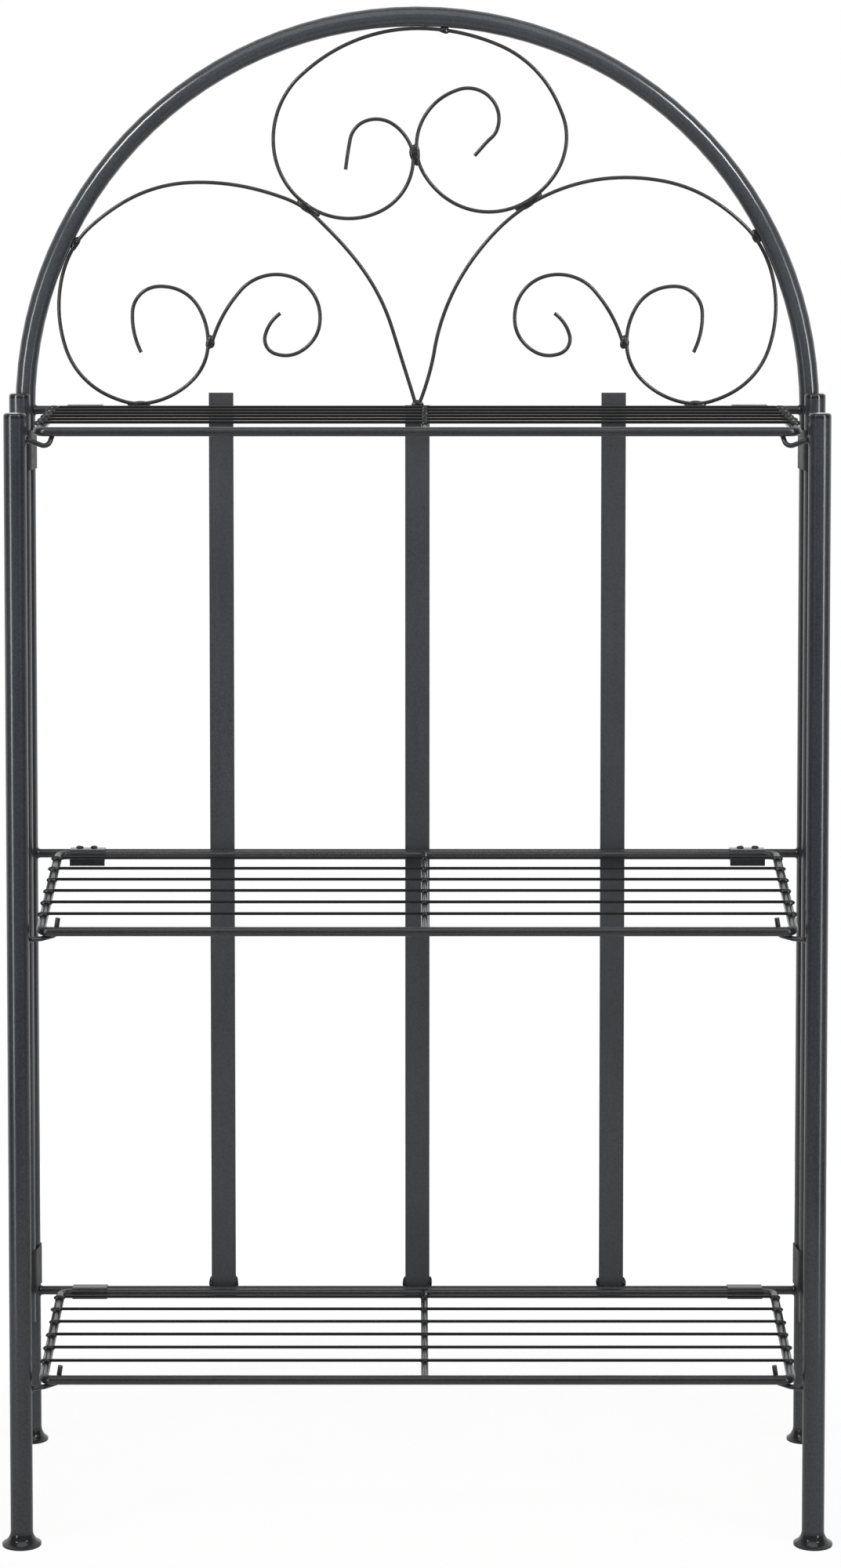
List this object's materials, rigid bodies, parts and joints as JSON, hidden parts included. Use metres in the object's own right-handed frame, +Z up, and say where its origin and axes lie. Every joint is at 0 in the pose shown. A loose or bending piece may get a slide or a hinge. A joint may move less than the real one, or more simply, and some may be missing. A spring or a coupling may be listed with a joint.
{
  "type": "bakers rack",
  "caption": "Bakers rack of round steel tube and rod with an arched scroll-work back and wire shelves that swing up on hinge clips.",
  "frame": {"origin": "on the floor under the middle of the rack's bounding box", "axes": "+Z up, the front faces -Y, +X is to the right of a person facing the rack"},
  "size_m": [0.7004, 0.29, 1.2435],
  "materials": {
    "tube_coat": "black powder coat, satin gloss",
    "rod_coat": "black powder coat, satin gloss",
    "wire_coat": "black powder coat, satin gloss",
    "scroll_coat": "black powder coat, satin gloss",
    "slat_coat": "black powder coat, satin gloss",
    "sheet_coat": "black powder coat, satin gloss",
    "foot_and_cap": "moulded black plastic"
  },
  "bodies": {
    "back_and_sides": {"arch_tube": "tube_coat", "crossbar_bottom": "rod_coat", "crossbar_middle": "rod_coat", "crossbar_top": "rod_coat", "curl_left": "scroll_coat", "curl_right": "scroll_coat", "front_cap_left": "foot_and_cap", "front_cap_right": "foot_and_cap", "front_foot_left": "foot_and_cap", "front_foot_right": "foot_and_cap", "front_post_left": "tube_coat", "front_post_right": "tube_coat", "hinge_cap_left": "foot_and_cap", "hinge_cap_right": "foot_and_cap", "hinge_clips_bottom": "sheet_coat", "hinge_clips_middle": "sheet_coat", "hinge_clips_top": "sheet_coat", "hinge_post_left": "tube_coat", "hinge_post_right": "tube_coat", "rear_foot_left": "foot_and_cap", "rear_foot_right": "foot_and_cap", "scroll_crown": "scroll_coat", "scroll_side_left": "scroll_coat", "scroll_side_right": "scroll_coat", "shelf_hooks_left": "wire_coat", "shelf_hooks_right": "wire_coat", "side_rail_bottom_left": "rod_coat", "side_rail_bottom_right": "rod_coat", "side_rail_middle_left": "rod_coat", "side_rail_middle_right": "rod_coat", "side_rail_top_left": "rod_coat", "side_rail_top_right": "rod_coat", "side_straps_left": "sheet_coat", "side_straps_right": "sheet_coat", "slat_centre": "slat_coat", "slat_left": "slat_coat", "slat_right": "slat_coat"},
    "shelf_top": {"shelf_frame_top": "rod_coat", "shelf_wires_top": "wire_coat", "shelf_crossrod_top": "rod_coat"},
    "shelf_middle": {"shelf_frame_middle": "rod_coat", "shelf_wires_middle": "wire_coat", "shelf_crossrod_middle": "rod_coat"},
    "shelf_bottom": {"shelf_frame_bottom": "rod_coat", "shelf_wires_bottom": "wire_coat", "shelf_crossrod_bottom": "rod_coat"}
  },
  "joints": [
    {"name": "top_shelf_hinge", "type": "hinge", "parent": "back_and_sides", "child": "shelf_top", "pos_m": [0, 0.12177, 0.899], "axis": [-1, 0, 0], "range_deg": [0, 87]},
    {"name": "middle_shelf_hinge", "type": "hinge", "parent": "back_and_sides", "child": "shelf_middle", "pos_m": [0, 0.12177, 0.5155], "axis": [-1, 0, 0], "range_deg": [0, 94]},
    {"name": "bottom_shelf_hinge", "type": "hinge", "parent": "back_and_sides", "child": "shelf_bottom", "pos_m": [0, 0.12177, 0.132], "axis": [-1, 0, 0], "range_deg": [0, 90]}
  ]
}
